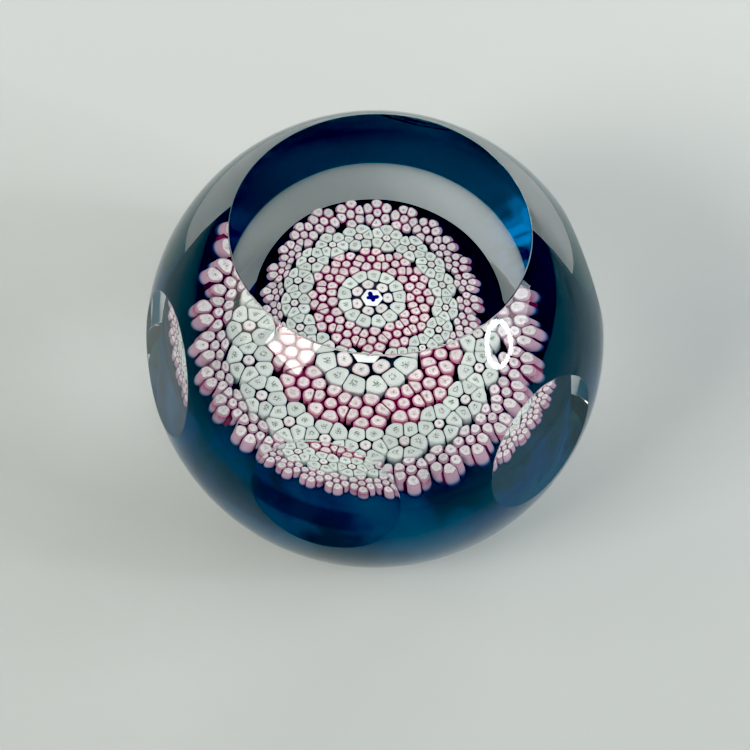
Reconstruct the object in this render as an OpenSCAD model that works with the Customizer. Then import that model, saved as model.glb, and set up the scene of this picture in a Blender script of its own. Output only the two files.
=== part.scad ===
// Faceted millefiori paperweight. A clear glass dome, cut from a ball, has a flat window on top
// and a ring of round windows in its side. Inside it a barrel of blue glass, flush with the base,
// carries rings of short upright canes, each a bundle of thin glass rods, round one large cane.
// The origin is the centre of the base, and +Z points up through the top window.

/* [Dome] */
// Diameter of the ball that the dome is cut from
ball_diameter = 72; // [70:0.5:76]
// Height of the ball's centre above the base
centre_height = 25.2; // [24.6:0.1:27]
// Height of the top window above the ball's centre
top_window_height = 28.3; // [27:0.1:30]

/* [Side windows] */
// Number of round windows in the side
side_windows = 6; // [4:1:8]
// Depth to which each side window is cut into the ball
side_window_depth = 1.8; // [0.8:0.1:2.2]
// Upward tilt of each side window, in degrees
side_window_tilt = 11.5; // [0:0.5:16]
// Turn of the first side window from the +X direction towards +Y, in degrees
side_window_turn = 19.7; // [0:0.1:60]

/* [Blue ground] */
// Largest radius of the blue barrel
barrel_radius = 20; // [19.6:0.1:20.6]
// Height of the barrel's widest place above the base
barrel_waist_height = 14; // [12:0.5:16]
// Half height of the ellipse that the barrel's side follows
barrel_half_height = 26.8; // [25.5:0.1:30]
// Radius of the thin foot that the barrel spreads into on the base
foot_radius = 22.6; // [19:0.1:24.5]
// Height at which the foot runs into the barrel
foot_height = 1.4; // [1:0.1:3]

/* [Cane bed] */
// Height of the highest cane top above the base
crown_height = 23.4; // [22.5:0.1:24]
// Radius of the ball surface that the cane tops follow
crown_radius = 71; // [60:1:90]
// Length of each cane
cane_length = 3; // [2:0.1:4]
// Distance that the rings of canes sit off the ball's axis, towards -X
pattern_shift = 0.8; // [0:0.1:1]

/* [Rings of canes] */
// Outer radius of the centre cane
centre_edge = 5.4; // [5:0.1:5.8]
// Outer radius of the inner pink ring
inner_edge = 9.72; // [9.4:0.1:10.2]
// Outer radius of the white ring
white_edge = 14.3; // [13.8:0.1:14.5]
// Outer radius of the outer pink ring
outer_edge = 18.6; // [18:0.1:18.6]
// Number of canes in the inner pink ring
inner_count = 12; // [8:1:12]
// Number of canes in the white ring
white_count = 17; // [12:1:17]
// Number of canes in the outer pink ring
outer_count = 25; // [18:1:25]
// Turn of the first inner pink cane from the +X direction towards +Y, in degrees
inner_turn = 3; // [0:1:30]
// Turn of the first white cane, in degrees
white_turn = 17.5; // [0:0.5:30]
// Turn of the first outer pink cane, in degrees
outer_turn = 3; // [0:1:30]

/* [Centre cane] */
// Number of round rods next to the butterfly rod
small_rods = 7; // [5:1:7]
// Number of wedge-shaped rods round the rim of the centre cane
rim_rods = 13; // [9:1:15]
// Radius of the six-sided butterfly rod
butterfly_rod_radius = 1.65; // [1.5:0.05:1.7]
// Span of the butterfly's wings
butterfly_span = 1.9; // [1.4:0.1:2]

/* [Hidden] */
$fn = 64;
ball_radius = ball_diameter / 2;
cutter = 2 * ball_diameter;
// A bundle cane is one rod in the middle of a ring of petals
petals = 6;
// Share of the room in its ring that a cane fills
cane_fill = 0.96;
// Gap left between neighbouring rods
rod_gap = 0.14;
// Room between the cane tops and the dome
crown_clearance = 0.1;
// Room between the outermost canes and the dome
edge_clearance = 0.15;
// Points up the side of the barrel's section
barrel_steps = 24;
// Thickness of the foot at its rim
foot_edge = 0.3;
// Points along each arc of a wedge
arc_steps = 6;
// Turn of each bundle against the one before it, so that no two neighbours line up
bundle_turn = 23;
// Turns of the first small rod and the first rim rod of the centre cane
small_rod_turn = 2;
rim_rod_turn = 8;

inner_ring = (centre_edge + inner_edge) / 2;
white_ring = (inner_edge + white_edge) / 2;
outer_ring = (white_edge + outer_edge) / 2;
crown_centre = crown_height - crown_radius;

function numbered(stem, count) = [for (i = [1 : count]) str(stem, i < 10 ? "0" : "", i)];
INNER_NAMES = numbered("inner_pink_cane_", inner_count);
WHITE_NAMES = numbered("white_cane_", white_count);
OUTER_NAMES = numbered("outer_pink_cane_", outer_count);
CORE_NAMES = ["crystal_dome", "blue_ground", "butterfly_motif", "butterfly_rod",
    "centre_small_rods", "centre_rim_rods"];

// Radius of the largest bundle that fits its ring, both across the ring and along it
function bundle_radius(low, high, count) =
    cane_fill * min((high - low) / 2, (low + high) / 2 * sin(180 / count));

// Radius of the barrel at a height above the base
function barrel_side(z) =
    barrel_radius * sqrt(1 - pow((z - barrel_waist_height) / barrel_half_height, 2));

function arc(radius, from, to) =
    [for (i = [0 : arc_steps]) let (a = from + (to - from) * i / arc_steps)
        radius * [cos(a), sin(a)]];

// Outline of one of `count` wedges between two radii, with parallel gaps between wedges
function wedge(low, high, count) =
    let (low_half = 180 / count - asin(rod_gap / 2 / low))
    let (high_half = 180 / count - asin(rod_gap / 2 / high))
    concat(arc(high, -high_half, high_half), arc(low, low_half, -low_half));

module barrel_section() {
    rise = crown_height - foot_height;
    side = [for (i = [0 : barrel_steps]) let (z = foot_height + rise * i / barrel_steps)
        [barrel_side(z), z]];
    foot = [[0, 0], [foot_radius, 0], [foot_radius, foot_edge]];
    polygon(concat(foot, side, [[0, crown_height]]));
}

// Everything under a ball surface that is concentric with the cane tops
module under_crown(offset) {
    intersection() {
        children();
        translate([-pattern_shift, 0, crown_centre])
            sphere(r = crown_radius + offset);
    }
}

// Sets a cane on the blue ground, square to it, at a radius and a turn about the rings' middle
module on_ground(ring_radius, turn) {
    lean = asin(ring_radius / crown_radius);
    translate([-pattern_shift, 0, crown_centre])
        rotate([0, lean, turn])
            translate([0, 0, crown_radius - cane_length])
                children();
}

module ball_with_windows() {
    difference() {
        translate([0, 0, centre_height])
            sphere(d = ball_diameter);
        translate([-cutter / 2, -cutter / 2, -cutter])
            cube(cutter);
        translate([-cutter / 2, -cutter / 2, centre_height + top_window_height])
            cube(cutter);
        for (i = [0 : side_windows - 1])
            translate([0, 0, centre_height])
                rotate([0, -side_window_tilt, i * 360 / side_windows + side_window_turn])
                    translate([ball_radius - side_window_depth, -cutter / 2, -cutter / 2])
                        cube(cutter);
    }
}

module blue_barrel() {
    under_crown(-cane_length)
        rotate_extrude()
            barrel_section();
}

// The room that the canes stand in, between the blue ground and the dome
module cane_well() {
    under_crown(crown_clearance)
        translate([-pattern_shift, 0, crown_height / 2])
            cylinder(h = crown_height, r = outer_edge + edge_clearance);
}

module crystal_dome() {
    color("aliceblue", 0.3)
        difference() {
            ball_with_windows();
            union() {
                blue_barrel();
                cane_well();
            }
        }
}

module blue_ground() {
    color("midnightblue")
        blue_barrel();
}

// A plain butterfly: two large wings, two small wings and a body
module butterfly() {
    wing = butterfly_span / 4;
    for (side = [-1, 1]) {
        translate([side * wing, wing * 0.55])
            circle(r = wing * 0.98);
        translate([side * wing * 0.75, -wing * 0.75])
            circle(r = wing * 0.72);
    }
    translate([-wing * 0.22, -wing * 1.3])
        square([wing * 0.44, wing * 2.6]);
}

module butterfly_motif() {
    color("navy")
        on_ground(0, 0)
            linear_extrude(cane_length)
                butterfly();
}

module butterfly_rod() {
    color("white")
        on_ground(0, 0)
            difference() {
                cylinder(h = cane_length, r = butterfly_rod_radius, $fn = 6);
                translate([0, 0, -cane_length])
                    linear_extrude(3 * cane_length)
                        butterfly();
            }
}

small_rod_outer = butterfly_rod_radius + (centre_edge - butterfly_rod_radius) * 0.46;
small_rod_radius = (small_rod_outer - butterfly_rod_radius) / 2 - rod_gap / 4;
small_rod_ring = (small_rod_outer + butterfly_rod_radius) / 2;

module centre_small_rods() {
    color("lavenderblush")
        for (i = [0 : small_rods - 1])
            on_ground(small_rod_ring, small_rod_turn + i * 360 / small_rods)
                cylinder(h = cane_length, r = small_rod_radius);
}

module centre_rim_rods() {
    color("mintcream")
        on_ground(0, 0)
            for (i = [0 : rim_rods - 1])
                rotate(rim_rod_turn + i * 360 / rim_rods)
                    linear_extrude(cane_length)
                        polygon(wedge(small_rod_outer + rod_gap, centre_edge - rod_gap, rim_rods));
}

// A bundle of round rods of one size
module round_rod_bundle(radius) {
    rod_radius = radius / 3 - rod_gap / 2;
    cylinder(h = cane_length, r = rod_radius);
    for (i = [0 : petals - 1])
        rotate(i * 360 / petals)
            translate([radius * 2 / 3, 0, 0])
                cylinder(h = cane_length, r = rod_radius);
}

// A round rod in a ring of wedge-shaped petals
module petal_bundle(radius) {
    core = radius * 0.3;
    cylinder(h = cane_length, r = core);
    for (i = [0 : petals - 1])
        rotate(i * 360 / petals)
            linear_extrude(cane_length)
                polygon(wedge(core + rod_gap, radius, petals));
}

module inner_pink_cane(i) {
    color("lightpink")
        on_ground(inner_ring, inner_turn + i * 360 / inner_count)
            rotate(i * bundle_turn)
                round_rod_bundle(bundle_radius(centre_edge, inner_edge, inner_count));
}

module white_cane(i) {
    color("honeydew")
        on_ground(white_ring, white_turn + i * 360 / white_count)
            rotate(i * bundle_turn)
                petal_bundle(bundle_radius(inner_edge, white_edge, white_count));
}

module outer_pink_cane(i) {
    color("pink")
        on_ground(outer_ring, outer_turn + i * 360 / outer_count)
            rotate(i * bundle_turn)
                round_rod_bundle(bundle_radius(white_edge, outer_edge, outer_count));
}

crystal_dome();
blue_ground();
butterfly_motif();
butterfly_rod();
centre_small_rods();
centre_rim_rods();
for (i = [0 : inner_count - 1])
    inner_pink_cane(i);
for (i = [0 : white_count - 1])
    white_cane(i);
for (i = [0 : outer_count - 1])
    outer_pink_cane(i);
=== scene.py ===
"""Cut millefiori paperweight: clear faceted dome, blue ground and rings of glass canes.

Lengths are in metres, except where a comment says millimetres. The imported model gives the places
of the dome, the ground and every cane. The canes are rebuilt here rod by rod, each rod pressed
against its neighbours as hot glass is.
"""
import math
import random
from collections import namedtuple

import bmesh
import bpy
import numpy as np
from mathutils import Matrix, Vector, noise


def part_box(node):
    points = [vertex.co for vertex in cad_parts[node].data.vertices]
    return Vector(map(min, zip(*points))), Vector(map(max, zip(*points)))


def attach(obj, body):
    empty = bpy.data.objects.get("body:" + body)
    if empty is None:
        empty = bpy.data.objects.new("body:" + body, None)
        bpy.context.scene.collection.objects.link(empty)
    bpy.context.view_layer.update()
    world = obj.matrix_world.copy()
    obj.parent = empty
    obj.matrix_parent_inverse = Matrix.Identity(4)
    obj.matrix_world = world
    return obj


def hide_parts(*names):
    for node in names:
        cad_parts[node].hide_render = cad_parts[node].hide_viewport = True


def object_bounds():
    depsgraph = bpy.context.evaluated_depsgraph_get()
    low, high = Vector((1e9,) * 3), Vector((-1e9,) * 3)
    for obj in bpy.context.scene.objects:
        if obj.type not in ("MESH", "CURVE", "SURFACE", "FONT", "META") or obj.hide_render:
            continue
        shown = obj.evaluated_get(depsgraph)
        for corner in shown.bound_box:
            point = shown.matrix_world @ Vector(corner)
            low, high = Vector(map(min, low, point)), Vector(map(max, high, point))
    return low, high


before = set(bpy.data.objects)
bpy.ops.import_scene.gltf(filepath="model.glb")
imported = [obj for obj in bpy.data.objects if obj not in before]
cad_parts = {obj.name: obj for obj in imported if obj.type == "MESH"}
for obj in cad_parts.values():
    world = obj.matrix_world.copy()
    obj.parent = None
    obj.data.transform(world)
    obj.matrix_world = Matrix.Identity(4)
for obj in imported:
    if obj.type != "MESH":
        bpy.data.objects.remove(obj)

cad_low, cad_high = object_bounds()
MM = 0.001
rng = random.Random(7)

# ---- Sizes that the model's source also names -------------------------------------------------
BALL_RADIUS = 36 * MM
TOP_WINDOW_HEIGHT = 28.3 * MM
SIDE_WINDOWS = 6
SIDE_WINDOW_DEPTH = 1.8 * MM
SIDE_WINDOW_TILT = math.radians(11.5)
SIDE_WINDOW_TURN = math.radians(19.7)
CROWN_RADIUS = 71 * MM
CANE_LENGTH = 3 * MM
BARREL_RADIUS = 20 * MM
BARREL_WAIST = 14 * MM
BARREL_HALF_HEIGHT = 26.8 * MM
PETALS = 6

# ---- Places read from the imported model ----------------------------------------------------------
BALL_CENTRE = Vector((0, 0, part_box("crystal_dome")[1].z - TOP_WINDOW_HEIGHT))
middle_low, middle_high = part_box("butterfly_rod")
CROWN_CENTRE = Vector(((middle_low.x + middle_high.x) / 2, (middle_low.y + middle_high.y) / 2,
                       middle_high.z - CROWN_RADIUS))


# ---- Shared helpers -----------------------------------------------------------------------------
def new_object(name, mesh):
    piece = bpy.data.objects.new(name, mesh)
    bpy.context.scene.collection.objects.link(piece)
    return piece


def smoothstep(low, high, value):
    t = np.clip((value - low) / (high - low), 0, 1)
    return t * t * (3 - 2 * t)


def finish_piece(piece, slot, *nodes):
    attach(piece, "root")
    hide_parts(*nodes)


# ---- Material helpers ---------------------------------------------------------------------------
class Nodes:
    """A short way to write a node tree."""

    def __init__(self, name):
        self.material = bpy.data.materials.new(name)
        self.material.use_nodes = True
        self.tree = self.material.node_tree
        self.shader = self.tree.nodes["Principled BSDF"]

    def add(self, kind, **values):
        node = self.tree.nodes.new(kind)
        for key, value in values.items():
            setattr(node, key, value)
        return node

    def link(self, source, target):
        self.tree.links.new(source, target)

    def put(self, target, value):
        """Links a socket to a socket, or sets a plain value on it."""
        if isinstance(value, bpy.types.NodeSocket):
            self.link(value, target)
        else:
            target.default_value = value

    def math(self, operation, a, b=0.0, clamp=False):
        node = self.add("ShaderNodeMath", operation=operation, use_clamp=clamp)
        self.put(node.inputs[0], a)
        self.put(node.inputs[1], b)
        return node.outputs[0]

    def band(self, value, start, end):
        """0 up to start, 1 from end on, smooth between. Start may be the larger of the two."""
        node = self.add("ShaderNodeMapRange", interpolation_type="SMOOTHSTEP")
        self.put(node.inputs["Value"], value)
        node.inputs["From Min"].default_value = start
        node.inputs["From Max"].default_value = end
        return node.outputs["Result"]

    def times(self, first, *others):
        """The product of sockets and plain values."""
        product = first
        for other in others:
            product = self.math("MULTIPLY", product, other)
        return product

    def window(self, value, low, rise, fall, high):
        """1 from rise to fall, 0 below low and above high, smooth between."""
        return self.times(self.band(value, low, rise), self.band(value, high, fall))

    def mix(self, share, a, b):
        node = self.add("ShaderNodeMix", data_type="RGBA")
        self.put(node.inputs["Factor"], share)
        self.put(node.inputs["A"], a)
        self.put(node.inputs["B"], b)
        return node.outputs["Result"]

    def noise(self, scale, detail=3.0, vector=None, roughness=0.5):
        node = self.add("ShaderNodeTexNoise")
        node.inputs["Scale"].default_value = scale
        node.inputs["Detail"].default_value = detail
        node.inputs["Roughness"].default_value = roughness
        self.link(vector or self.place(), node.inputs["Vector"])
        return node.outputs["Fac"]

    def place(self):
        return self.add("ShaderNodeTexCoord").outputs["Object"]

    def attribute(self, name, output="Vector"):
        return self.add("ShaderNodeAttribute", attribute_name=name).outputs[output]

    def split(self, vector):
        node = self.add("ShaderNodeSeparateXYZ")
        self.link(vector, node.inputs[0])
        return node.outputs

    def surface(self, **values):
        for key, value in values.items():
            self.put(self.shader.inputs[key.replace("_", " ")], value)

    def bump(self, height, distance, strength=1.0):
        node = self.add("ShaderNodeBump")
        node.inputs["Strength"].default_value = strength
        node.inputs["Distance"].default_value = distance
        self.link(height, node.inputs["Height"])
        self.link(node.outputs["Normal"], self.shader.inputs["Normal"])


def colour(red, green, blue):
    return (red, green, blue, 1.0)


# ---- Clear crystal and blue ground --------------------------------------------------------------
GLASS_INDEX = 1.55


def crystal_material():
    """Clear glass, with faint smears on its polish."""
    m = Nodes("clear_crystal")
    smear = m.band(m.noise(90, 4), 0.5, 0.9)
    m.surface(Base_Color=colour(1, 1, 1), IOR=GLASS_INDEX, Transmission_Weight=1.0,
              Specular_Tint=colour(0.6, 0.6, 0.6), Roughness=m.times(smear, 0.012))
    return m.material


def ground_clouds(m, cloud, along):
    """Slow clouds of navy, blue and teal, painted lighter at the back as if lit from behind."""
    # Painted light: the colours brighten towards the back, where light from behind shines through.
    backlit_share = m.band(along, 12.5 * MM, 16.5 * MM)
    navy = m.mix(backlit_share, colour(0.001, 0.022, 0.040), colour(0.001, 0.060, 0.060))
    blue = m.mix(backlit_share, colour(0.001, 0.030, 0.110), colour(0.001, 0.072, 0.120))
    teal = m.mix(backlit_share, colour(0.001, 0.064, 0.145), colour(0.002, 0.100, 0.175))
    clouded = m.mix(m.band(cloud, 0.42, 0.60), navy, blue)
    return m.mix(m.band(m.noise(75, 5), 0.46, 0.64), clouded, teal)


def ground_painted_light_streaks(m, across, along, up):
    """Where painted streaks of light lie: near the base at the back, weaker on the left."""
    right = m.band(across, 7 * MM, 11 * MM)
    left = m.times(m.band(across, -9.5 * MM, -12.5 * MM), 0.30)
    behind = m.times(m.band(along, 10 * MM, 14 * MM), m.math("ADD", right, left))
    low = m.window(up, 1.2 * MM, 2.5 * MM, 5.5 * MM, 8.0 * MM)
    return m.times(behind, low, m.band(m.noise(620, 5), 0.44, 0.60))


def ground_ledge(m, along, up):
    """The ground's top, outside the canes, except at the front."""
    rise = m.math("ADD", up, m.times(along, 0.14))
    return m.times(m.band(rise, 16.3 * MM, 17.2 * MM), m.band(along, -11 * MM, -3 * MM))


def ground_painted_shade(m, across, along, up):
    """A patch of painted shade on the side, which the front window shows."""
    near = m.band(along, -8 * MM, -12 * MM)
    wide = m.window(across, -17 * MM, -14.5 * MM, -1.5 * MM, 1.5 * MM)
    high = m.window(up, 11.6 * MM, 12.6 * MM, 16.0 * MM, 17.4 * MM)
    return m.times(near, wide, high, 0.75)


def ground_flecks(m):
    """Sparse specks, each near the middle of a small cell."""
    cells = m.add("ShaderNodeTexVoronoi", feature="F1")
    cells.inputs["Scale"].default_value = 900
    m.link(m.place(), cells.inputs["Vector"])
    speck = m.band(cells.outputs["Distance"], 0.14, 0.04)
    return m.times(speck, m.band(m.noise(500, 2), 0.66, 0.72), 0.6)


def ground_material():
    m = Nodes("blue_ground_glass")
    cloud = m.noise(90, 5, roughness=0.6)
    across, along, up = m.split(m.place())
    base = ground_clouds(m, cloud, along)
    # Painted light: bright blue streaks of light focused through the ball onto the ground.
    base = m.mix(ground_painted_light_streaks(m, across, along, up), base, colour(0.01, 0.40, 1.0))
    base = m.mix(ground_ledge(m, along, up), base, colour(0.0006, 0.012, 0.026))
    # Painted shade: a dark patch on the ground's side.
    base = m.mix(ground_painted_shade(m, across, along, up), base, colour(0.001, 0.010, 0.030))
    base = m.mix(ground_flecks(m), base, colour(0.06, 0.30, 0.42))
    m.surface(Base_Color=base, Roughness=0.45, Specular_IOR_Level=0.0)
    m.bump(cloud, 0.3 * MM, 0.3)
    return m.material


CRYSTAL = crystal_material()
GROUND = ground_material()


# ---- Opal glass of the rods ---------------------------------------------------------------------
# A rod's mesh has two attributes. "rod" holds the place across the end, in shares of the way to
# the edge, and the share of the way down the side. "tone" is a number of the rod's own.

# top, shoulder: the end's colours in its middle and near its edge; side, deep, foot: the side's
# colours from the top down, darker further down, and foot a painted shade where the rod meets the
# ground; blush: the side of a few rods; mark: the pulled pattern; cap: how far out the end's colour
# reaches; ring, dot: how strongly the parts of the pattern show.
RodLook = namedtuple("RodLook", "top shoulder side blush deep foot mark cap ring dot")
RING_RADIUS = 0.26        # of the pulled ring, as a share of the rod's radius
RING_BEADS = 7.0


def pulled_pattern(m, look, radius, uneven, angle, tone):
    """A faint beaded ring with a sketchy inside, and on some rods a dot."""
    rays = m.times(m.math("COSINE", m.times(angle, float(PETALS))), 0.05)
    off_ring = m.math("SUBTRACT", m.math("ADD", uneven, rays), RING_RADIUS)
    beads = m.band(m.math("COSINE", m.times(angle, RING_BEADS)), -0.3, 0.5)
    beaded = m.times(m.band(m.math("ABSOLUTE", off_ring), 0.11, 0.03), beads)
    sketch = m.times(m.band(m.noise(5200, 2), 0.50, 0.60), m.band(uneven, 0.50, 0.30))
    in_ring = m.times(m.math("MAXIMUM", beaded, sketch), look.ring)
    has_dot = m.band(tone, 1.0 - look.dot, 1.02 - look.dot)
    in_dot = m.times(m.band(radius, 0.17, 0.09), has_dot, 0.8)
    return m.math("MAXIMUM", in_ring, in_dot)


def rod_end(m, look, u, v, tone, grain):
    square = m.math("ADD", m.times(u, u), m.times(v, v))
    radius = m.math("SQRT", square)
    wobble = m.times(m.math("SUBTRACT", m.noise(3200, 2), 0.5), 0.30)
    uneven = m.math("ADD", radius, wobble)
    angle = m.math("ARCTAN2", v, u)
    face = m.mix(m.times(m.band(grain, 0.45, 0.75), 0.5), look.top, look.shoulder)
    face = m.mix(pulled_pattern(m, look, radius, uneven, angle, tone), face, look.mark)
    face = m.mix(m.band(uneven, look.cap, look.cap + 0.12), face, look.shoulder)
    return m.mix(m.band(radius, 0.93, 1.0), face, look.side)


def rod_wall(m, look, down, tone):
    """The cased side, ribbed lengthwise, darker further down, with painted shade at its foot."""
    ribs = m.add("ShaderNodeMapping")
    ribs.inputs["Scale"].default_value = (1, 1, 0.15)
    m.link(m.place(), ribs.inputs["Vector"])
    rib = m.noise(2200, 3, ribs.outputs["Vector"])
    coat = m.mix(m.band(tone, 0.34, 0.26), look.side, look.blush)
    wall = m.mix(m.times(m.band(rib, 0.42, 0.62), 0.7), coat, look.shoulder)
    wall = m.mix(m.band(down, 0.02, 0.34), wall, look.deep)
    # Painted contact shade at the foot, where the rod meets the ground.
    return m.mix(m.band(down, 0.26, 0.46), wall, look.foot)


def rod_material(name, look):
    m = Nodes(name)
    u, v, down = m.split(m.attribute("rod"))
    tone = m.attribute("tone", "Fac")
    grain = m.noise(2600, 3)
    face = rod_end(m, look, u, v, tone, grain)
    base = m.mix(m.band(down, 0.0, 0.03), face, rod_wall(m, look, down, tone))
    shaded = m.add("ShaderNodeVectorMath", operation="SCALE")
    m.link(base, shaded.inputs[0])
    m.link(m.math("ADD", m.times(tone, 0.16), 0.86), shaded.inputs["Scale"])
    m.surface(Base_Color=shaded.outputs[0], Roughness=0.5, Specular_IOR_Level=0.0)
    m.bump(grain, 0.02 * MM, 0.4)
    return m.material


def mottled_material(name, scale, first, second):
    m = Nodes(name)
    m.surface(Base_Color=m.mix(m.band(m.noise(scale, 3), 0.4, 0.7), first, second), Roughness=0.5,
              Specular_IOR_Level=0.0)
    return m.material


ROSE_ROD = rod_material("rose_cased_rod", RodLook(
    top=colour(0.86, 0.79, 0.80), shoulder=colour(0.60, 0.34, 0.41),
    side=colour(0.50, 0.10, 0.20), blush=colour(0.66, 0.26, 0.38),
    deep=colour(0.30, 0.03, 0.10), foot=colour(0.07, 0.005, 0.03),
    mark=colour(0.20, 0.13, 0.15), cap=0.72, ring=0.35, dot=0.45))
LILAC_ROD = rod_material("lilac_cased_rod", RodLook(
    top=colour(0.84, 0.80, 0.82), shoulder=colour(0.50, 0.33, 0.41),
    side=colour(0.59, 0.37, 0.47), blush=colour(0.48, 0.13, 0.23),
    deep=colour(0.46, 0.34, 0.47), foot=colour(0.006, 0.035, 0.11),
    mark=colour(0.22, 0.16, 0.19), cap=0.76, ring=0.32, dot=0.40))
MINT_ROD = rod_material("mint_petal", RodLook(
    top=colour(0.75, 0.79, 0.77), shoulder=colour(0.64, 0.70, 0.67),
    side=colour(0.74, 0.79, 0.78), blush=colour(0.76, 0.72, 0.74),
    deep=colour(0.42, 0.48, 0.49), foot=colour(0.02, 0.08, 0.10),
    mark=colour(0.10, 0.15, 0.12), cap=0.86, ring=0.75, dot=0.5))
WHITE_ROD = rod_material("white_rod", RodLook(
    top=colour(0.84, 0.82, 0.82), shoulder=colour(0.66, 0.55, 0.58),
    side=colour(0.40, 0.16, 0.20), blush=colour(0.30, 0.20, 0.22),
    deep=colour(0.10, 0.02, 0.05), foot=colour(0.04, 0.01, 0.03),
    mark=colour(0.08, 0.08, 0.08), cap=0.80, ring=0.4, dot=0.85))
ROSE_CASING = mottled_material("rose_casing", 500, colour(0.07, 0.008, 0.03),
                               colour(0.24, 0.035, 0.085))
DARK_CASING = mottled_material("dark_casing", 500, colour(0.025, 0.025, 0.025),
                               colour(0.06, 0.045, 0.050))
PLAIN_WHITE = mottled_material("plain_white", 1400, colour(0.94, 0.96, 0.97),
                               colour(0.88, 0.92, 0.94))
NAVY = mottled_material("navy_motif", 1400, colour(0.004, 0.008, 0.16), colour(0.012, 0.02, 0.30))


# ---- The dome -----------------------------------------------------------------------------------
EDGE = 0.16 * MM          # width of the rounding on each side of a window's edge
BALL_SEGMENTS = 288


def dome_flats():
    """Each flat of the dome as its outward normal and its distance from the ball's centre."""
    up = Vector((0, 0, 1))
    flats = [(up, TOP_WINDOW_HEIGHT), (-up, BALL_CENTRE.z - cad_low.z)]
    level, rise = math.cos(SIDE_WINDOW_TILT), math.sin(SIDE_WINDOW_TILT)
    for i in range(SIDE_WINDOWS):
        turn = SIDE_WINDOW_TURN + i * math.tau / SIDE_WINDOWS
        normal = Vector((math.cos(turn) * level, math.sin(turn) * level, rise))
        flats.append((normal, BALL_RADIUS - SIDE_WINDOW_DEPTH))
    return flats


def slice_ball(bm, normal, distance, clear):
    """Cuts the mesh with a plane and returns the new vertices; clear removes what lies outside."""
    geometry = bm.verts[:] + bm.edges[:] + bm.faces[:]
    cut = bmesh.ops.bisect_plane(bm, geom=geometry, dist=1e-8, plane_co=normal * distance,
                                 plane_no=normal, clear_outer=clear)["geom_cut"]
    return [v for v in cut if isinstance(v, bmesh.types.BMVert)]


def cut_window(bm, normal, distance, shade):
    """Cuts one flat and rounds its edge a little, storing the shading normals there."""
    lean = math.acos(distance / BALL_RADIUS)
    slice_ball(bm, normal, distance - EDGE * math.sin(lean), False)
    edge = slice_ball(bm, normal, distance, True)
    centre = normal * distance
    across = normal.orthogonal().normalized()
    along = normal.cross(across)
    edge.sort(key=lambda v: math.atan2((v.co - centre).dot(along), (v.co - centre).dot(across)))
    radius = BALL_RADIUS * math.sin(lean)
    inner = []
    for v in edge:
        out = (v.co - centre).normalized()
        inner.append(bm.verts.new(centre + out * (radius - EDGE)))
        inner[-1][shade] = normal
        corner = centre + out * radius
        between = (corner.normalized() + normal).normalized()
        v.co = corner - between * EDGE * 0.5 * math.sin(lean / 2)
        v[shade] = between
    for i, v in enumerate(edge):
        j = (i + 1) % len(edge)
        bm.faces.new((v, edge[j], inner[j], inner[i]))
    bm.faces.new(inner)


def make_dome():
    bm = bmesh.new()
    shade = bm.verts.layers.float_vector.new("shade")
    bmesh.ops.create_uvsphere(bm, u_segments=BALL_SEGMENTS, v_segments=BALL_SEGMENTS // 2,
                              radius=BALL_RADIUS)
    for normal, distance in dome_flats():
        cut_window(bm, normal, distance, shade)
    bmesh.ops.recalc_face_normals(bm, faces=bm.faces[:])
    normals = []
    for v in bm.verts:
        normals.append(v[shade].copy() if v[shade].length > 0.5 else v.co.normalized())
    mesh = bpy.data.meshes.new("dome_glass")
    bm.verts.layers.float_vector.remove(shade)
    bm.to_mesh(mesh)
    bm.free()
    mesh.transform(Matrix.Translation(BALL_CENTRE))
    mesh.polygons.foreach_set("use_smooth", [True] * len(mesh.polygons))
    mesh.normals_split_custom_set_from_vertices(normals)
    mesh.materials.append(CRYSTAL)
    finish_piece(new_object("dome_glass", mesh), "clear_crystal", "crystal_dome")


# ---- The bed of canes ---------------------------------------------------------------------------
VISIBLE_DEPTH = 1.8 * MM    # the ground hides the rods below this depth
SPLAY = 0.03                # how far rods lean outwards, as a share of their way from the middle
RIM_SPLAY = 0.45 * MM       # and this much more at the rim
RIGHT_SPLAY = 1.3           # the rim's extra lean grows by this share on the right


def splay(away, radius):
    """How far outwards a rod leans over its visible length, by its place in the bed."""
    rim = smoothstep(13.5 * MM, 18.5 * MM, radius) ** 1.4
    right = np.clip(away[..., 0], 0, 1)
    return radius * SPLAY + RIM_SPLAY * rim * (1 + RIGHT_SPLAY * right)


def lean_share(depth):
    """Rods lean outwards as far as the ground's surface, and tuck back in below it."""
    share = np.clip(depth / VISIBLE_DEPTH, 0, 1) ** 1.25
    return share - 0.9 * smoothstep(VISIBLE_DEPTH * 1.02, CANE_LENGTH, depth)


def heading(degrees):
    """A direction across the bed, as degrees from +X towards +Y."""
    return np.array([math.cos(math.radians(degrees)), math.sin(math.radians(degrees))])


# The bed was set by hand, so its rings are not quite round.
BACK = heading(98)
LEFT = heading(165)
BACK_STRETCH = 1.4 * MM     # the outer ring's canes spread this much further at the back
SIDE_SQUEEZE = 0.85 * MM    # the rings are pressed in this much on the right
RIM_SQUEEZE = 1.0 * MM      # the outer ring is pressed in this much, except at the back
LEFT_SQUEEZE = 0.7 * MM     # and this much more on the left


def warp(away, radius):
    """How far outwards the bed strays from true circles."""
    behind = np.clip(away @ BACK, 0, 1)
    right = np.clip(away[..., 0], 0, 1) ** 1.5
    left = np.clip(away @ LEFT, 0, 1)
    stretch = BACK_STRETCH * behind ** 2.5 * smoothstep(14 * MM, 18.6 * MM, radius)
    rim = smoothstep(12.6 * MM, 17.5 * MM, radius) * (1 - smoothstep(0.6, 0.97, behind))
    squeeze = SIDE_SQUEEZE * right * smoothstep(8 * MM, 14 * MM, radius)
    return stretch - squeeze - (RIM_SQUEEZE + LEFT_SQUEEZE * left) * rim


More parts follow.
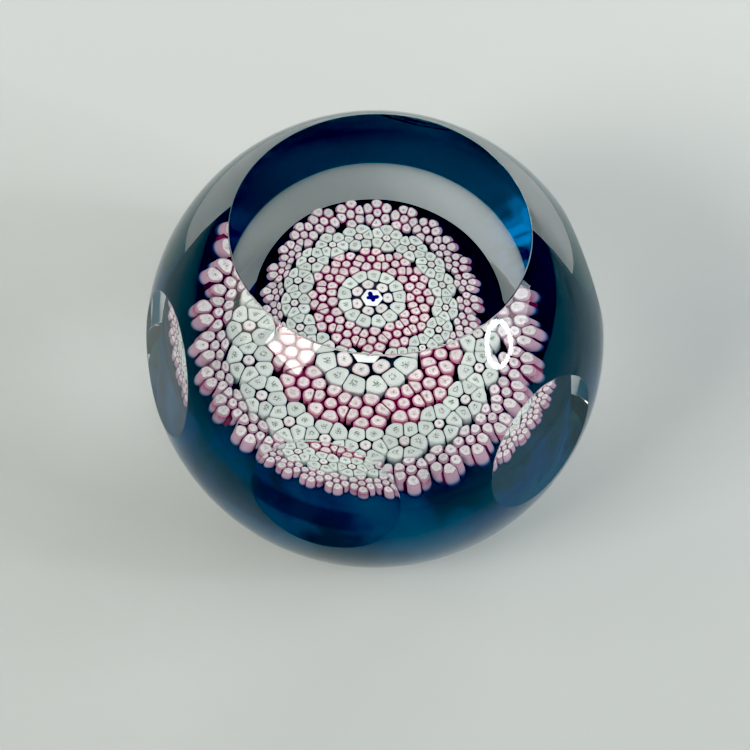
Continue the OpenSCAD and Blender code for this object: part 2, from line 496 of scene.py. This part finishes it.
def settle(flat, depth):
    """Places points given across the bed, and a depth below its crown, in space."""
    radius = np.linalg.norm(flat, axis=-1)
    away = flat / np.maximum(radius, 1e-9)[..., None]
    height = np.sqrt(CROWN_RADIUS ** 2 - radius ** 2)
    normal = np.concatenate([flat, height[..., None]], axis=-1) / CROWN_RADIUS
    lean = splay(away, radius) * lean_share(depth) + warp(away, radius)
    points = normal * (CROWN_RADIUS - depth)[..., None]
    points[..., :2] += away * lean[..., None]
    return points + np.array(CROWN_CENTRE)


# xy: place of its middle across the bed; share: how hard it presses on its neighbours;
# limit: its largest radius; bundle: the middle and the radius of the bundle that holds it;
# gap: how far it keeps from the wall between it and a neighbour; soft: high for sharp corners;
# tone: a number of its own, for its material; sink: how far its end lies below the crown.
Rod = namedtuple("Rod", "xy share limit bundle gap soft material tone sink")
OUTLINE_POINTS = 30
ANGLES = np.linspace(0, math.tau, OUTLINE_POINTS, endpoint=False)
RAYS = np.stack([np.cos(ANGLES), np.sin(ANGLES)], axis=-1)
REACH = 4.5 * MM            # rods further apart than this don't press on each other


def outline(rod, rods):
    """The rod's radius in each direction, pressed flat where neighbours and its bundle are."""
    pressure = (1 / rod.limit) ** rod.soft * np.ones(OUTLINE_POINTS)
    for other in rods:
        way = other.xy - rod.xy
        distance = np.linalg.norm(way)
        if other is rod or distance > REACH:
            continue
        wall = (distance ** 2 + rod.share ** 2 - other.share ** 2) / (2 * distance) - rod.gap
        facing = RAYS @ (way / distance)
        pressure += (np.clip(facing, 0, 1) / wall) ** rod.soft
    middle, radius = rod.bundle
    start = rod.xy - middle
    along = RAYS @ start
    room = -along + np.sqrt(np.maximum(along ** 2 + radius ** 2 - start @ start, 1e-12))
    pressure += (1 / room) ** rod.soft
    return pressure ** (-1 / rod.soft)


# Each ring of a rod's end: its share of the outline's radius, and its depth below the top in
# millimetres. SIDE_DEPTHS are the depths of the rings down its side.
ROUND_RINGS = [(0.45, 0.0), (0.72, 0.012), (0.86, 0.04), (0.95, 0.10), (1.0, 0.22)]
FLAT_RINGS = [(0.30, 0.0), (0.60, 0.004), (0.84, 0.015), (0.94, 0.045), (0.98, 0.09), (1.0, 0.16)]
CASING_RINGS = [(0.5, 0.0), (0.85, 0.0), (0.95, 0.03), (1.0, 0.12)]
SIDE_DEPTHS = [0.7, 1.0, 1.3, 1.7, 2.1, 2.6, 3.0]


def column_faces(n, count):
    """Faces of a column: one top vertex, then count loops of n vertices from the top down."""
    faces = [(0, 1 + i, 1 + (i + 1) % n) for i in range(n)]
    for k in range(count - 1):
        a, b = 1 + k * n, 1 + (k + 1) * n
        faces += [(a + i, b + i, b + (i + 1) % n, a + (i + 1) % n) for i in range(n)]
    last = 1 + (count - 1) * n
    faces.append(tuple(last + n - 1 - i for i in range(n)))
    return faces


def column(middle, radii, top, rings):
    """Vertices, faces and rod coordinates of one upright column, closed at both ends."""
    levels = [(share, top + depth * MM) for share, depth in rings]
    shoulder = levels[-1][1]
    for depth in SIDE_DEPTHS:
        levels.append((1.0, max(depth * MM, shoulder + 0.02 * MM)))
    points, depths, coords = [middle[None, :]], [np.array([top])], [np.zeros((1, 3))]
    for share, depth in levels:
        points.append(middle + RAYS * (radii * share)[:, None])
        depths.append(np.full(OUTLINE_POINTS, depth))
        down = max(depth - shoulder, 0) / (CANE_LENGTH - shoulder)
        coords.append(np.column_stack([RAYS * share, np.full(OUTLINE_POINTS, down)]))
    vertices = settle(np.concatenate(points), np.concatenate(depths))
    return vertices, column_faces(OUTLINE_POINTS, len(levels)), np.concatenate(coords)


def bundle_mesh(name, columns):
    """One mesh from columns, each with its material and tone."""
    vertices, faces, coords, tones, slots, materials = [], [], [], [], [], []
    for (points, sides, rod_coords), material, tone in columns:
        start = sum(len(v) for v in vertices)
        vertices.append(points)
        faces += [tuple(start + i for i in side) for side in sides]
        coords.append(rod_coords)
        tones += [tone] * len(points)
        if material not in materials:
            materials.append(material)
        slots += [materials.index(material)] * len(sides)
    mesh = bpy.data.meshes.new(name)
    mesh.from_pydata(np.concatenate(vertices).tolist(), [], faces)
    mesh.attributes.new("rod", "FLOAT_VECTOR", "POINT").data.foreach_set(
        "vector", np.concatenate(coords).astype(np.float32).ravel())
    mesh.attributes.new("tone", "FLOAT", "POINT").data.foreach_set("value", tones)
    for material in materials:
        mesh.materials.append(material)
    mesh.polygons.foreach_set("material_index", slots)
    mesh.polygons.foreach_set("use_smooth", [True] * len(mesh.polygons))
    mesh.update()
    return mesh


def jitter(size):
    return np.array([rng.uniform(-size, size), rng.uniform(-size, size)])


def cane_middle(node):
    """Where the top of a cane's middle is across the bed, from the CAD node's box."""
    low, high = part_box(node)
    way = ((low + high) / 2 - CROWN_CENTRE).normalized() * CROWN_RADIUS
    return np.array([way.x, way.y])


# share and limit are in millimetres; the bundle's radius and gap are in metres.
RodKind = namedtuple("RodKind", "share limit soft material")
BundleKind = namedtuple("BundleKind", "radius gap core petal")
BUNDLES = {
    "inner": BundleKind(2.68 * MM, 0.055 * MM, RodKind(0.60, 0.76, 7, ROSE_ROD),
                        RodKind(0.62, 1.06, 7, ROSE_ROD)),
    "outer": BundleKind(2.44 * MM, 0.055 * MM, RodKind(0.58, 0.74, 7, LILAC_ROD),
                        RodKind(0.60, 0.93, 7, LILAC_ROD)),
    "white": BundleKind(2.70 * MM, 0.045 * MM, RodKind(0.62, 0.66, 8, WHITE_ROD),
                        RodKind(0.86, 1.50, 13, MINT_ROD)),
}


CANE_STRAY = 0.10 * MM        # how far a cane strays from its place in its ring,
CORE_STRAY = 0.08 * MM        # its middle rod from the cane's middle,
PETAL_STRAY = 0.14            # and a petal round the cane, in radians
PETAL_REACH = (0.58, 0.66)    # how far out petals stand, as a share of the bundle's radius


def bundle_rods(node, kind):
    """The seven rods of a bundle cane: one in the middle and six petals round it."""
    middle = cane_middle(node) + jitter(CANE_STRAY)
    bundle = (middle, kind.radius)
    turn = rng.uniform(0, math.tau)
    core, petal = kind.core, kind.petal
    rods = [Rod(middle + jitter(CORE_STRAY), core.share * MM,
                core.limit * rng.uniform(0.9, 1.1) * MM, bundle, kind.gap, core.soft,
                core.material, rng.random(), rng.uniform(0, 0.12) * MM)]
    for i in range(PETALS):
        angle = turn + i * math.tau / PETALS + rng.uniform(-PETAL_STRAY, PETAL_STRAY)
        distance = kind.radius * rng.uniform(*PETAL_REACH)
        xy = middle + distance * np.array([math.cos(angle), math.sin(angle)])
        rods.append(Rod(xy, petal.share * rng.uniform(0.85, 1.15) * MM,
                        petal.limit * rng.uniform(0.85, 1.12) * MM, bundle, kind.gap, petal.soft,
                        petal.material, rng.random(), rng.uniform(0, 0.14) * MM))
    return rods


CENTRE_RADIUS = 5.42 * MM     # of the large cane in the middle
RING_SLACK = 0.06             # how far a rod strays along its ring, in radians


def ring_of_rods(count, distance, degrees, kind, gap):
    """A ring of rods in the centre cane; degrees is the turn of its first rod."""
    rods = []
    for i in range(count):
        angle = math.radians(degrees) + i * math.tau / count + rng.uniform(-RING_SLACK, RING_SLACK)
        away = distance * rng.uniform(0.97, 1.03)
        rods.append(Rod(away * np.array([math.cos(angle), math.sin(angle)]),
                        kind.share * MM * rng.uniform(0.94, 1.06),
                        kind.limit * MM * rng.uniform(0.94, 1.04), (np.zeros(2), CENTRE_RADIUS),
                        gap, kind.soft, kind.material, rng.random(), rng.uniform(0, 0.08) * MM))
    return rods


def lay_out():
    """Every rod in the bed, by the node that it stands for."""
    bed = {}
    for node in sorted(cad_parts):
        kind = BUNDLES.get(node.split("_")[0])
        if kind:
            bed[node] = bundle_rods(node, kind)
    bed["butterfly_rod"] = [Rod(xy=np.array([0.02, -0.03]) * MM, share=1.62 * MM, limit=1.95 * MM,
                                bundle=(np.zeros(2), CENTRE_RADIUS), gap=0.06 * MM, soft=14,
                                material=PLAIN_WHITE, tone=0.9, sink=0.0)]
    bed["centre_small_rods"] = ring_of_rods(7, 2.52 * MM, 2, RodKind(0.90, 1.0, 8, WHITE_ROD),
                                            0.08 * MM)
    bed["centre_rim_rods"] = ring_of_rods(13, 4.25 * MM, 8, RodKind(1.0, 1.8, 12, MINT_ROD),
                                          0.045 * MM)
    return bed


def six_sided(flats):
    """A six-sided outline, given how far its flats stand from its middle."""
    corner = math.pi / 6
    return flats / np.cos(ANGLES % (2 * corner) - corner)


def casing(middle, radius, top, material):
    """The darker glass between the rods of a bundle, as a column with its material and tone."""
    radii = np.full(OUTLINE_POINTS, radius)
    return column(middle, radii, top, CASING_RINGS), material, 0.5


def node_casings(node, bundle):
    """The casing that a node's rods stand in, if they have one."""
    middle, radius = bundle
    if node == "centre_small_rods":
        return [casing(middle, 4.9 * MM, 0.18 * MM, DARK_CASING)]
    if node.startswith("white"):
        return [casing(middle, radius * 0.80, 0.24 * MM, DARK_CASING)]
    if "pink" in node:
        return [casing(middle, radius * 0.78, 0.36 * MM, ROSE_CASING)]
    return []


SLOTS = {"outer": "rose_cased_opal", "inner": "rose_cased_opal", "white": "green_white_opal",
         "butterfly_rod": "white_opal", "centre_small_rods": "white_opal",
         "centre_rim_rods": "green_white_opal"}
BUTTERFLY_ROD_FLATS = 1.48 * MM     # from the butterfly rod's middle to its flats


def make_canes():
    bed = lay_out()
    every_rod = [rod for rods in bed.values() for rod in rods]
    for node, rods in bed.items():
        six = node == "butterfly_rod"
        columns = []
        for rod in rods:
            radii = six_sided(BUTTERFLY_ROD_FLATS) if six else outline(rod, every_rod)
            rings = ROUND_RINGS if rod.material in (ROSE_ROD, LILAC_ROD) else FLAT_RINGS
            columns.append((column(rod.xy, radii, rod.sink, rings), rod.material, rod.tone))
        columns += node_casings(node, rods[0].bundle)
        slot = SLOTS.get(node) or SLOTS[node.split("_")[0]]
        name = node + "_glass"
        finish_piece(new_object(name, bundle_mesh(name, columns)), slot, node)


# ---- The butterfly ------------------------------------------------------------------------------
BUTTERFLY_POINTS = 90
BUTTERFLY_SIZE = 0.92 * MM
BUTTERFLY_TURN = math.radians(-28)
# One side of a plain four-winged shape, from tail to head: the bearing in degrees, where 90 is the
# head, and how far the edge reaches there, in shares of the size.
BUTTERFLY_EDGE = [(-90, 0.62), (-82, 0.52), (-74, 0.58), (-60, 0.86), (-42, 0.94), (-22, 0.86),
                  (-8, 0.70), (0, 0.64), (8, 0.84), (22, 1.10), (36, 1.24), (50, 1.20), (62, 0.96),
                  (76, 0.48), (84, 0.50), (90, 0.58)]
# Each ring of its mesh: its share of the outline, and its depth below the crown in millimetres.
BUTTERFLY_RINGS = [(0.5, -0.02), (0.96, -0.02), (1.0, 0.0), (1.0, 0.4), (1.0, CANE_LENGTH / MM)]


def butterfly_outline():
    """Points round the butterfly, the same on both sides of its body."""
    angles = np.linspace(0, math.tau, BUTTERFLY_POINTS, endpoint=False)
    folded = np.degrees(np.arcsin(np.sin(angles)))
    radii = np.interp(folded, *zip(*BUTTERFLY_EDGE)) * BUTTERFLY_SIZE
    x, y = np.cos(angles) * radii, np.sin(angles) * radii
    cos, sin = math.cos(BUTTERFLY_TURN), math.sin(BUTTERFLY_TURN)
    return np.column_stack([x * cos - y * sin, x * sin + y * cos])


def make_butterfly():
    shape = butterfly_outline()
    flat, depth = [np.zeros((1, 2))], [np.array([BUTTERFLY_RINGS[0][1]])]
    for share, ring_depth in BUTTERFLY_RINGS:
        flat.append(shape * share)
        depth.append(np.full(BUTTERFLY_POINTS, ring_depth))
    vertices = settle(np.concatenate(flat), np.concatenate(depth) * MM)
    faces = column_faces(BUTTERFLY_POINTS, len(BUTTERFLY_RINGS))
    mesh = bpy.data.meshes.new("butterfly_inlay")
    mesh.from_pydata(vertices.tolist(), [], faces)
    mesh.materials.append(NAVY)
    finish_piece(new_object("butterfly_inlay", mesh), "navy_opal", "butterfly_motif")


# ---- The ground ---------------------------------------------------------------------------------
GROUND_SEGMENTS = 160
GROUND_DEPTH = 1.7 * MM       # of the ground's top below the canes' tops
GROUND_SKIN = 0.06 * MM       # clear glass between the ground and the base
SHOULDER_HEIGHT = 18.6 * MM
SHOULDER_DIP = 0.35 * MM      # how far the top drops at its edge
SIDE_STEPS = 34
SWELL = 0.2 * MM              # how far the side swells in and out
RIPPLE = 0.10 * MM            # how far the top ripples up and down
FOOT_RADIUS = 22.6 * MM
FOOT_EDGE = 0.25 * MM         # how thick the foot is at its rim
FOOT_CURVE = 0.55 * MM        # how soon the foot runs into the barrel
SHOULDER_BACK = 1.3 * MM      # the shoulder strays out this far at the back,
SHOULDER_LEFT = 0.7 * MM      # and in this far on the left
SHOULDER_FRONT = 0.6 * MM     # and at the front


def barrel_radius(z):
    return BARREL_RADIUS * math.sqrt(1 - ((z - BARREL_WAIST) / BARREL_HALF_HEIGHT) ** 2)


def bed_height(x, y, depth):
    off = (x - CROWN_CENTRE.x) ** 2 + (y - CROWN_CENTRE.y) ** 2
    return CROWN_CENTRE.z + math.sqrt((CROWN_RADIUS - depth) ** 2 - off)


def side_radius(z):
    """The ground's side: a barrel that spreads into a thin foot on the base."""
    foot = (FOOT_RADIUS - barrel_radius(0)) * math.exp(-(z - FOOT_EDGE) / FOOT_CURVE)
    return barrel_radius(z) + foot


def ground_warp(out):
    """How far the ground's shoulder strays outwards from a circle."""
    away = np.array([out.x, out.y])
    behind = max(0, away @ BACK) ** 2
    left = max(0, away @ LEFT) * (1 - behind)
    front = max(0, -away[1])
    return SHOULDER_BACK * behind - SHOULDER_LEFT * left - SHOULDER_FRONT * front


def ground_profile():
    """The ground's outline from the middle of its base to its shoulder, as (radius, z)."""
    low = cad_low.z + GROUND_SKIN
    points = [(FOOT_RADIUS * share, low) for share in (0.3, 0.6, 0.9, 0.99)]
    rise = SHOULDER_HEIGHT - FOOT_EDGE
    heights = [FOOT_EDGE + step * step * rise for step in np.linspace(0, 1, SIDE_STEPS)]
    return points + [(side_radius(z), z) for z in heights]


def ground_side_point(out, radius, z):
    """A point of the ground's side, which swells a little and follows the bed at its shoulder."""
    stray = ground_warp(out) * smoothstep(10 * MM, 17 * MM, z)
    swell = SWELL * noise.noise(Vector((out.x, out.y, z / BARREL_RADIUS)) * 1.8)
    place = out * (radius + stray + swell * smoothstep(2 * MM, 5 * MM, z))
    return place.x, place.y, z


def ground_top_point(out, radius, edge):
    """A point of the ground's top, which lies under the canes and dips at its edge."""
    place = out * (radius + ground_warp(out) * smoothstep(0.5 * edge, edge, radius))
    dip = SHOULDER_DIP * smoothstep(edge - 0.6 * MM, edge, radius)
    height = bed_height(place.x, place.y, GROUND_DEPTH) - dip
    return place.x, place.y, height + RIPPLE * noise.noise(place * 400)


def make_ground():
    profile = ground_profile()
    edge = profile[-1][0]
    inwards = [edge - 0.15 * MM, edge - 0.5 * MM, edge - 1.0 * MM]
    inwards += [edge * share for share in (0.9, 0.82, 0.74, 0.66, 0.58, 0.5, 0.4, 0.3, 0.2, 0.1)]
    n, count = GROUND_SEGMENTS, len(profile) + len(inwards)
    turns = [j * math.tau / n for j in range(n)]
    ways = [Vector((math.cos(a), math.sin(a), 0)) for a in turns]
    vertices = [(0, 0, profile[0][1])]
    for radius, z in profile:
        vertices += [ground_side_point(out, radius, z) for out in ways]
    for radius in inwards:
        vertices += [ground_top_point(out, radius, edge) for out in ways]
    vertices.append((0, 0, bed_height(0, 0, GROUND_DEPTH)))
    faces = [(0, 1 + (j + 1) % n, 1 + j) for j in range(n)]
    for k in range(count - 1):
        a, b = 1 + k * n, 1 + (k + 1) * n
        faces += [(a + j, a + (j + 1) % n, b + (j + 1) % n, b + j) for j in range(n)]
    last = 1 + (count - 1) * n
    faces += [(last + j, last + (j + 1) % n, len(vertices) - 1) for j in range(n)]
    mesh = bpy.data.meshes.new("blue_ground_glass")
    mesh.from_pydata(vertices, [], faces)
    mesh.polygons.foreach_set("use_smooth", [True] * len(mesh.polygons))
    mesh.materials.append(GROUND)
    finish_piece(new_object("blue_ground_glass", mesh), "blue_glass", "blue_ground")


# ---- Stage: floor, lights and camera ------------------------------------------------------------
def direction(azimuth, elevation):
    """Azimuth 0 is towards -Y, where the camera stands, and 90 is +X."""
    a, e = math.radians(azimuth), math.radians(elevation)
    return Vector((math.sin(a) * math.cos(e), -math.cos(a) * math.cos(e), math.sin(e)))


FLOOR_HALF = 3.0            # half the floor's width
FLOOR_GAP = 0.05 * MM       # between the base and the floor, so that they don't share a plane


def floor_material():
    """A pale table with painted light: paler towards the back, where more light falls."""
    m = Nodes("pale_table")
    along = m.split(m.place())[1]
    front = m.mix(m.noise(40, 3), colour(0.42, 0.43, 0.42), colour(0.44, 0.45, 0.44))
    # Painted light: the table grows paler towards the back.
    base = m.mix(m.band(along, -0.11, 0.13), front, colour(0.55, 0.56, 0.55))
    m.surface(Base_Color=base, Roughness=0.45, Specular_IOR_Level=0.3)
    return m.material


def make_floor():
    mesh = bpy.data.meshes.new("floor")
    z = cad_low.z - FLOOR_GAP
    corners = [(-FLOOR_HALF, -FLOOR_HALF, z), (FLOOR_HALF, -FLOOR_HALF, z),
               (FLOOR_HALF, FLOOR_HALF, z), (-FLOOR_HALF, FLOOR_HALF, z)]
    mesh.from_pydata(corners, [], [(0, 1, 2, 3)])
    mesh.materials.append(floor_material())
    new_object("floor", mesh)


def make_area_light(name, azimuth, elevation, distance, width, height, power, tint):
    """A rectangular lamp that faces the ball's centre."""
    lamp = bpy.data.lights.new(name, "AREA")
    lamp.shape = "RECTANGLE"
    lamp.size = width
    lamp.size_y = height
    lamp.energy = power
    lamp.color = tint
    piece = bpy.data.objects.new(name, lamp)
    bpy.context.scene.collection.objects.link(piece)
    way = direction(azimuth, elevation)
    piece.location = BALL_CENTRE + way * distance
    piece.rotation_mode = "QUATERNION"
    piece.rotation_quaternion = way.to_track_quat("Z", "Y")
    return piece


WARM = (1.0, 0.99, 0.93)
CREAM = (1.0, 0.96, 0.80)
COOL = (0.94, 0.98, 1.0)
LAMP_BEADS = 40
LAMP_BEAD_SIZE = 0.068
LAMP_POWER = 12.0
LAMP_DISTANCE = 1.5
LAMP_AZIMUTH = 73.6
LAMP_ELEVATION = 23.3
LAMP_TILT = math.radians(-43.5)
LAMP_LONG, LAMP_SHORT = 0.242, 0.177     # half its length and half its width


def make_ring_lamp():
    """A ring-shaped lamp on the right, which the dome mirrors as a small bright ring."""
    way = direction(LAMP_AZIMUTH, LAMP_ELEVATION)
    across = way.cross(Vector((0, 0, 1))).normalized()
    upward = across.cross(way)
    cos, sin = math.cos(LAMP_TILT), math.sin(LAMP_TILT)
    longer = (across * cos + upward * sin) * LAMP_LONG
    shorter = (upward * cos - across * sin) * LAMP_SHORT
    for i in range(LAMP_BEADS):
        a = i * math.tau / LAMP_BEADS
        bead = make_area_light(f"lamp_right_{i:02d}", LAMP_AZIMUTH, LAMP_ELEVATION, LAMP_DISTANCE,
                               LAMP_BEAD_SIZE, LAMP_BEAD_SIZE, LAMP_POWER / LAMP_BEADS, COOL)
        bead.data.shape = "DISK"
        bead.location += longer * math.cos(a) + shorter * math.sin(a)


SKY_LOW, SKY_HIGH = 0.385, 0.345         # the sky's strength near the horizon and overhead


def make_world():
    world = bpy.data.worlds.new("room")
    world.use_nodes = True
    tree = world.node_tree
    back = tree.nodes["Background"]
    coords = tree.nodes.new("ShaderNodeTexCoord")
    split = tree.nodes.new("ShaderNodeSeparateXYZ")
    ramp = tree.nodes.new("ShaderNodeMapRange")
    ramp.inputs["From Min"].default_value = -0.1
    ramp.inputs["From Max"].default_value = 0.9
    ramp.inputs["To Min"].default_value = SKY_LOW
    ramp.inputs["To Max"].default_value = SKY_HIGH
    tree.links.new(coords.outputs["Generated"], split.inputs[0])
    tree.links.new(split.outputs["Z"], ramp.inputs["Value"])
    tree.links.new(ramp.outputs["Result"], back.inputs["Strength"])
    back.inputs["Color"].default_value = (0.95, 1.0, 0.99, 1)
    bpy.context.scene.world = world


CAMERA_ELEVATION = math.radians(55.28)
CAMERA_ROLL = math.radians(2.95)
CAMERA_DISTANCE = 9 * BALL_RADIUS
AIM_DROP = 0.1564 * BALL_RADIUS     # the camera aims this far below the ball's centre
FOCAL_LENGTH = 98.3                 # millimetres, on a 36 mm sensor


def make_camera():
    data = bpy.data.cameras.new("camera")
    data.lens = FOCAL_LENGTH
    data.sensor_width = 36
    camera = bpy.data.objects.new("camera", data)
    bpy.context.scene.collection.objects.link(camera)
    place = BALL_CENTRE + CAMERA_DISTANCE * Vector((0, -math.cos(CAMERA_ELEVATION),
                                                    math.sin(CAMERA_ELEVATION)))
    ahead = (BALL_CENTRE - place).normalized()
    right = Vector((1, 0, 0))
    up = right.cross(ahead)
    rolled_right = math.cos(CAMERA_ROLL) * right + math.sin(CAMERA_ROLL) * up
    rolled_up = math.cos(CAMERA_ROLL) * up - math.sin(CAMERA_ROLL) * right
    aim = (BALL_CENTRE - rolled_up * AIM_DROP - place).normalized()
    rolled_up = rolled_right.cross(aim)
    turn = Matrix((rolled_right, rolled_up, -aim)).transposed()
    camera.matrix_world = Matrix.Translation(place) @ turn.to_4x4()
    bpy.context.scene.camera = camera


def make_lights():
    make_area_light("window_left", azimuth=-52, elevation=37, distance=1.0, width=0.38,
                    height=0.34, power=6.8, tint=WARM)
    make_area_light("wall_left", azimuth=-85, elevation=32, distance=1.0, width=0.5,
                    height=0.5, power=2.4, tint=CREAM)
    make_area_light("wall_right", azimuth=92, elevation=30, distance=1.0, width=0.5,
                    height=0.5, power=4.0, tint=COOL)
    make_area_light("wall_back", azimuth=147, elevation=13, distance=0.8, width=0.42,
                    height=0.22, power=2.2, tint=COOL)
    make_ring_lamp()


def set_view():
    """The photo's deep blues hold no red at all, so the picture's dark end is cut off a little."""
    view = bpy.context.scene.view_settings
    view.view_transform = "Standard"
    view.use_curve_mapping = True
    view.curve_mapping.black_level = (0.050, 0.034, 0.026)
    view.curve_mapping.update()


make_dome()
make_ground()
make_canes()
make_butterfly()
make_floor()
make_world()
make_lights()
make_camera()
set_view()
